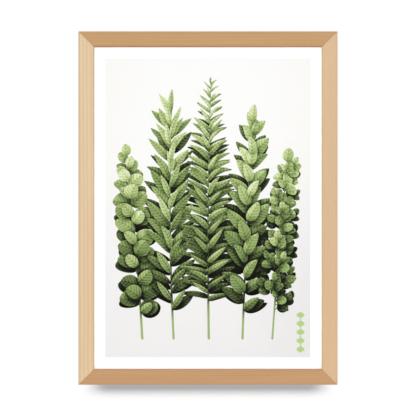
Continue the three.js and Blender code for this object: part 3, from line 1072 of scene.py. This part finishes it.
# %% [markdown]
# Fibreboard is wood cooked to a pulp and pressed. Up close it is a felt of short fibres that
# lie every way, and from further off it is faintly cloudy. Twisted noise gives the felt, single
# dark fibres are its highest peaks, and a large soft noise gives the clouds.

# %% Fibreboard
FELT_SCALE = (420, 420, 420)
STRAY_SCALE = (300, 300, 300)
CLOUDS_SCALE = (16, 16, 16)
CLOUDS_SHARE, FELT_SHARE = 0.28, 0.7
STRAY_TINT = (0.55, 0.48, 0.42, 1)
BOARD_EDGE = 0.3 * MM

board_material, shader = new_material("fibreboard")
place = object_place(shader)
felt = noise(place, FELT_SCALE, detail=5.0, rough=0.7, twist=1.0)
stray = noise(place, STRAY_SCALE, rough=0.6, twist=4.0)
clouds = noise(place, CLOUDS_SCALE, detail=3.0)
tone = ease(clouds, 0.3, 0.7) * CLOUDS_SHARE + ease(felt, 0.3, 0.7) * FELT_SHARE
brown = mix(tone, rgb(148, 110, 78), rgb(172, 133, 97))
brown = mix(ease(stray, 0.66, 0.74), brown, STRAY_TINT, "MULTIPLY")
fill(shader, {"Base Color": brown, "Roughness": 0.75})
bump(shader, felt, strength=0.35, distance=0.1 * MM)
board = sheet_slab("board", "backing_board", BOARD_EDGE)
finish_piece(board, "fibreboard", "backing_board", board_material)

# %% [markdown]
# ## Tabs and V-nails
#
# The tabs are stamped from thin steel, with a pointed end in the wood and a blunt one over the
# board. The V-nails are driven in flush across each mitre, where only their folded edges
# show. Both are slabs. The tab's corners are softened by a curve from a little before each
# corner to a little after it.

# %% Steel tabs
TAB_HALF = 3.5 * MM
TAB_POINT = 3 * MM
TAB_END_HALF = 1 * MM
TAB_REACH = 15.5 * MM
TAB_CORNERS = [
    (-TAB_HALF, 0), (TAB_HALF, 0), (TAB_HALF, TAB_REACH - TAB_POINT),
    (TAB_END_HALF, TAB_REACH), (-TAB_END_HALF, TAB_REACH), (-TAB_HALF, TAB_REACH - TAB_POINT),
]
TAB_CUTS = np.array([1.6, 1.6, 0.6, 0.4, 0.4, 0.6]) * MM
STEEL_EDGE = 0.12 * MM
SOFT_STEPS = 5
OUT = {"top": (0, 1), "right": (1, 0), "bottom": (0, -1), "left": (-1, 0)}


def nodes_named(start):
    """The model's pieces whose names start this way."""
    return [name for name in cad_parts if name.startswith(start)]


def softened(corners, cut):
    """An outline whose corners are rounded. From cut before a corner to cut after it runs a
    parabola that has the corner as its control point."""
    corners = np.asarray(corners, dtype=float)
    back = np.roll(corners, 1, axis=0) - corners
    on = np.roll(corners, -1, axis=0) - corners
    start = corners + cut[:, None] * back / np.linalg.norm(back, axis=1, keepdims=True)
    end = corners + cut[:, None] * on / np.linalg.norm(on, axis=1, keepdims=True)
    s = np.linspace(0, 1, SOFT_STEPS)[None, :, None]
    curve = (1 - s) ** 2 * start[:, None] + 2 * s * (1 - s) * corners[:, None] + s ** 2 * end[:, None]
    return curve.reshape(-1, 2)


def tab_outline(middle, out):
    """The outline of a tab about its middle. out is the way from the board to the wood."""
    local = softened(TAB_CORNERS, TAB_CUTS)
    along = np.array([out[1], -out[0]])
    return middle + local[:, :1] * along + (local[:, 1:] - TAB_REACH / 2) * np.array(out)


for node in nodes_named("tab_"):
    low, high = low_high(node)
    outline = tab_outline((low + high)[[0, 2]] / 2, OUT[node.split("_")[1]])
    tab = slab(f"{node}_steel", outline, low[1], high[1], STEEL_EDGE)
    finish_piece(tab, "zinc_steel", node, zinc_material)

# %% V-nails
VNAIL_WIDTH = 0.6 * MM
VNAIL_EDGE = 0.06 * MM
FLUSH = 0.03 * MM


def vnail_outline(low, high, way):
    """An L whose corner points at the opening and whose legs lie along the two rails. way says
    on which side of the opening it is, right and up being 1."""
    corner = np.where(way > 0, low[[0, 2]], high[[0, 2]])
    reach, width = high[0] - low[0], VNAIL_WIDTH
    local = np.array([(0, 0), (reach, 0), (reach, width), (width, width), (width, reach), (0, reach)])
    outline = corner + local * way
    return outline if way[0] * way[1] > 0 else outline[::-1]


for node in nodes_named("vnail_"):
    low, high = low_high(node)
    way = np.array([1 if "right" in node else -1, 1 if "top" in node else -1])
    outline = vnail_outline(low, high, way)
    nail = slab(f"{node}_steel", outline, low[1], BACK_Y + FLUSH, VNAIL_EDGE)
    finish_piece(nail, "zinc_steel", node, zinc_material)

# %% [markdown]
# ## The hanger
#
# The hanger is a strip of brassed steel. Its ends lie on the wood and its middle stands off, so
# that a nail in the wall can catch in one of the notches. It is one section, a rectangle with
# eased corners, whose height and place are functions of where it is along the strip: the lower
# edge follows a saw tooth, the ends a quarter circle and the strip's depth a smooth step.

# %% The toothed strip
TOOTH_PITCH = 2.4 * MM
TOOTH_HEIGHT = 1.4 * MM
TOOTH_SPAN = 13.2 * MM
STRIP_THICK = 1.0 * MM
STRIP_CORNER = 2.0 * MM
RISE_START = 17.0 * MM
RISE_END = 14.5 * MM
STRIP_STATIONS = 231
STRIP_EASE = 0.18 * MM


def toothed_strip(low, high):
    """Stations along X, each a rectangle in the YZ plane with three points to a corner."""
    x = np.linspace(high[0], low[0], STRIP_STATIONS)
    end = np.clip(np.abs(x) - (high[0] - STRIP_CORNER), 0, STRIP_CORNER - STRIP_EASE)
    inset = STRIP_CORNER - np.sqrt(STRIP_CORNER ** 2 - end ** 2)
    phase = ((x + TOOTH_SPAN) / TOOTH_PITCH) % 1.0
    tooth = np.where(np.abs(x) <= TOOTH_SPAN, 1 - np.abs(2 * phase - 1), 0.0) * TOOTH_HEIGHT
    bottom, top = low[2] + inset + tooth, high[2] - inset
    rise = np.clip((RISE_START - np.abs(x)) / (RISE_START - RISE_END), 0, 1)
    depth = low[1] + (high[1] - low[1] - STRIP_THICK) * rise ** 2 * (3 - 2 * rise) + STRIP_THICK / 2
    sy, sz = np.repeat([1, 1, -1, -1], 3), np.repeat([-1, 1, 1, -1], 3)
    turn = np.radians([-90, -45, 0, 0, 45, 90, 90, 135, 180, 180, 225, 270])
    y = depth[:, None] + sy * (STRIP_THICK / 2 - STRIP_EASE) + STRIP_EASE * np.cos(turn)
    half = ((top - bottom) / 2)[:, None]
    z = ((top + bottom) / 2)[:, None] + sz * (half - STRIP_EASE) + STRIP_EASE * np.sin(turn)
    points = np.stack([np.broadcast_to(x[:, None], y.shape), y, z], axis=-1)
    return new_piece("toothed_strip", points, tube_faces(STRIP_STATIONS, len(turn)), smooth=False)


strip = toothed_strip(*low_high("sawtooth_hanger"))
finish_piece(strip, "brassed_steel", "sawtooth_hanger", brass_material)

# %% [markdown]
# ## Pins and buttons
#
# Pins and rubber buttons are round, so each is a profile turned about an axis along Y, as on a
# lathe. The two poles are single points with a fan of triangles, which closes the shape.

# %% A lathe
DOME = np.radians(np.linspace(0, 90, 9))


def turned(name, profile, low, high, sides):
    """A round body. The profile is (radius, y) points, from the pole nearest the wall to the
    other, and the axis runs through the middle of the node's box."""
    centre = (low + high) / 2
    radius, y = np.array(profile[1:-1]).T
    angle = np.linspace(0, 2 * math.pi, sides, endpoint=False)
    x = centre[0] + radius[:, None] * np.cos(angle)
    z = centre[2] + radius[:, None] * np.sin(angle)
    rings = np.stack([x, np.broadcast_to(y[:, None], x.shape), z], axis=-1).reshape(-1, 3)
    poles = [[centre[0], profile[0][1], centre[2]], [centre[0], profile[-1][1], centre[2]]]
    first, last = len(rings), len(rings) + 1
    around = np.arange(sides)
    onward = np.roll(around, -1)
    base = (len(radius) - 1) * sides
    faces = [*grid_faces(len(radius), sides, wrap=True)]
    faces += [(first, b, a) for a, b in zip(around, onward)]
    faces += [(last, base + a, base + b) for a, b in zip(around, onward)]
    return new_piece(name, np.concatenate([rings, poles]), faces)


def dome(radius, rim, flat_radius, top):
    """A quarter of an ellipse, from the edge of the flat at the top down to the rim."""
    return [(flat_radius + (radius - flat_radius) * math.sin(a), rim + (top - rim) * math.cos(a))
            for a in DOME]


# %% Pins and rubber buttons
PIN_SIDES = 32
PIN_SHANK = 0.6 * MM
PIN_HEAD_LOW = 0.8 * MM
PIN_RIM = 0.2 * MM
PIN_POINT = 1.2 * MM
PIN_FLAT = 0.25
BUTTON_SIDES = 48
BUTTON_RIM = 1.0 * MM
BUTTON_EDGE = 0.2 * MM
BUTTON_FLAT = 0.6
BUTTON_FOOT = 0.97

for node in nodes_named("hanger_pin_"):
    low, high = low_high(node)
    under = high[1] - PIN_HEAD_LOW
    head = (high[0] - low[0]) / 2
    profile = [(0, high[1]), *dome(head, under + PIN_RIM, PIN_FLAT * head, high[1]), (head, under),
               (PIN_SHANK, under), (PIN_SHANK, low[1] + PIN_POINT), (0, low[1])]
    pin = turned(f"{node}_steel", profile, low, high, PIN_SIDES)
    finish_piece(pin, "brassed_steel", node, brass_material)

for node in nodes_named("bumper_"):
    low, high = low_high(node)
    wide = (high[0] - low[0]) / 2
    profile = [(0, high[1]), *dome(wide, low[1] + BUTTON_RIM, BUTTON_FLAT * wide, high[1]),
               (wide, low[1] + BUTTON_EDGE), (BUTTON_FOOT * wide, low[1]), (0, low[1])]
    button = turned(f"{node}_rubber", profile, low, high, BUTTON_SIDES)
    finish_piece(button, "bumper_rubber", node, rubber_material)

# %% [markdown]
# ## The wall and the floor
#
# The frame hangs on a wall so white that it burns out, and only the narrow shadow under the
# frame is seen. The wall glows a little of itself, like a photographer's light box, so its
# shadow never gets deep. It is clear from behind and left out of the light that bounces
# round, so it can't hide or darken the back of the frame. A pale floor lies well below.

# %% Wall and floor
WALL_GAP = 0.3 * MM
WALL_HALF = 0.9
FLOOR_FRONT, FLOOR_BACK = -1.1, 0.5
WALL_GLOW = 0.355
WALL_PAINT = 0.1
FLOOR_PAINT = 0.9
MATTE = 0.9


def plane(name, points, material):
    """A flat piece of the stage, from two rows of two points."""
    piece = new_piece(name, points, grid_faces(2, 2), smooth=False)
    piece.data.materials.append(material)
    return piece


wall_material, shader = new_material("wall_paint")
fill(shader, {
    "Base Color": (WALL_PAINT, WALL_PAINT, WALL_PAINT, 1), "Roughness": MATTE, "Specular IOR Level": 0.0,
    "Emission Color": (1, 1, 1, 1), "Emission Strength": WALL_GLOW,
})
nodes = shader.id_data
behind = put(nodes, "ShaderNodeNewGeometry").outputs["Backfacing"]
clear = put(nodes, "ShaderNodeBsdfTransparent").outputs[0]
see_through = put(nodes, "ShaderNodeMixShader", {0: behind, 1: shader.outputs[0], 2: clear})
fill(nodes.nodes["Material Output"], {"Surface": see_through.outputs[0]})

floor_material, shader = new_material("floor_paint")
fill(shader, {"Base Color": (FLOOR_PAINT, FLOOR_PAINT, FLOOR_PAINT, 1), "Roughness": MATTE})

ends = (-WALL_HALF, WALL_HALF)
wall = plane("wall", [[(x, WALL_GAP, MIDDLE_Z + z) for x in ends] for z in ends], wall_material)
wall.visible_diffuse = False
wall.visible_glossy = False
wall.visible_transmission = False
wall.visible_shadow = False
floor_points = [[(x, y, MIDDLE_Z - WALL_HALF) for x in ends] for y in (FLOOR_FRONT, FLOOR_BACK)]
floor = plane("floor", floor_points, floor_material)
print(f"wall {2 * WALL_HALF:.1f} m wide, {WALL_GAP / MM:.1f} mm behind the buttons")

# %% [markdown]
# ## Light
#
# The frame is lit by one broad lamp in front and above, plus light from all round, and two
# weaker lamps light its back and its right side. Blender lets each lamp say what it lights and
# what may shade it, as a photographer does with flags.
# The key lamp leaves out the wall, and the rails don't shade the print from it, because the
# picture has no shadow inside the frame. The wall has a fan of lamps of its own. Only a flag
# shades it: a strip hidden inside the wood of the bottom rail and a little shorter than it,
# so that the shadow under the frame is soft and fades out before the corners.

# %% The flag
FLAG_HALF = 150 * MM
FLAG_DEPTH = 1.5 * MM
FLAG_LIFT = 1.7 * MM

flag_z = (BOTTOM_Z + FLAG_LIFT, BOTTOM_Z + FACE - FLAG_LIFT)
flag_points = [[(x, FRONT_Y + FLAG_DEPTH, z) for x in (-FLAG_HALF, FLAG_HALF)] for z in flag_z]
flag = plane("shadow_flag", flag_points, floor_material)

# %% The key lamp and the wall's lamps
KEY_HEIGHT = math.radians(24)
KEY_STRENGTH = 2.41
BACK_STRENGTH = 1.2
SIDE_STRENGTH = 0.9
FAN_HEIGHT = math.radians(32.5)
FAN_TURNS = np.radians([-28, -14, 0, 14, 28])
FAN_STRENGTH = 23.5
SPREAD = math.radians(26)
BACK_WAY = (0.5, -0.7, -0.5)
SIDE_WAY = (-1.0, -0.15, -0.25)


def light_set(name, pieces, state):
    """A set for a lamp, which reaches or is shaded by only these, or by all but these."""
    members = bpy.data.collections.new(name)
    for piece in pieces:
        members.objects.link(piece)
    for entry in members.collection_objects:
        entry.light_linking.link_state = state
    return members


def sun(name, strength, towards, lights=None, shaded_by=None):
    """A Sun lamp that shines along the vector towards."""
    data = bpy.data.lights.new(name, "SUN")
    data.energy = strength
    data.angle = SPREAD
    lamp = bpy.data.objects.new(name, data)
    lamp.rotation_euler = Vector(towards).to_track_quat("-Z", "Y").to_euler()
    lamp.light_linking.receiver_collection = lights
    lamp.light_linking.blocker_collection = shaded_by
    bpy.context.scene.collection.objects.link(lamp)


def slanting(height, turn=0.0):
    """The way light falls from a height above the horizon, turned to the left or right."""
    level = math.cos(height)
    return level * math.sin(turn), level * math.cos(turn), -math.sin(height)


all_but_wall = light_set("all_but_wall", [wall], "EXCLUDE")
all_but_rails = light_set("all_but_rails", [*rails, flag], "EXCLUDE")
only_wall = light_set("only_wall", [wall], "INCLUDE")
only_flag = light_set("only_flag", [flag], "INCLUDE")

sun("key_sun", KEY_STRENGTH, slanting(KEY_HEIGHT), all_but_wall, all_but_rails)
sun("back_sun", BACK_STRENGTH, BACK_WAY, all_but_wall)
sun("side_sun", SIDE_STRENGTH, SIDE_WAY, all_but_wall)
for number, turn in enumerate(FAN_TURNS):
    share = FAN_STRENGTH / len(FAN_TURNS)
    sun(f"wall_sun_{number}", share, slanting(FAN_HEIGHT, turn), only_wall, only_flag)
print(f"{len(bpy.data.lights)} lamps")

# %% [markdown]
# ## The room
#
# The light from all round is plain white. What the glass and the metal mirror is another
# matter: a real room isn't equally bright all over, and the photographer stands in the dark.
# So reflections see a room that is brighter above than below, with a dark place straight
# behind the camera, and the print stays clear of glare.

# %% Surroundings
AMBIENT = 0.633
SKY_WHITE = 1.25
MIRRORED_LOW, MIRRORED_HIGH = 0.25, 1.0
SLOPE_REACH = 0.7
CAMERA_SIDE_DARK = 0.06
DARK_FROM, DARK_FULL = -0.93, -0.98

scene = bpy.context.scene
scene.view_settings.view_transform = "Standard"
scene.view_settings.look = "None"

world = bpy.data.worlds.new("white_room")
scene.world = world
world.use_nodes = True
room = world.node_tree
ray = put(room, "ShaderNodeLightPath").outputs
look_y, look_z = parts(put(room, "ShaderNodeTexCoord").outputs["Generated"])[1:]
upward = put(room, "ShaderNodeMapRange", {
    "Value": look_z, "From Min": -SLOPE_REACH, "From Max": SLOPE_REACH,
    "To Min": MIRRORED_LOW, "To Max": MIRRORED_HIGH,
}).outputs[0]
mirrored = Number(upward) * (1.0 - ease(look_y, DARK_FROM, DARK_FULL) * (1.0 - CAMERA_SIDE_DARK))
plain = put(room, "ShaderNodeMix", {0: ray["Is Camera Ray"], 2: AMBIENT, 3: SKY_WHITE}).outputs[0]
strength = put(room, "ShaderNodeMix", {0: ray["Is Glossy Ray"], 2: plain, 3: mirrored}).outputs[0]
fill(room.nodes["Background"], {"Color": (1, 1, 1, 1), "Strength": strength})
print(f"room: {len(room.nodes)} nodes")
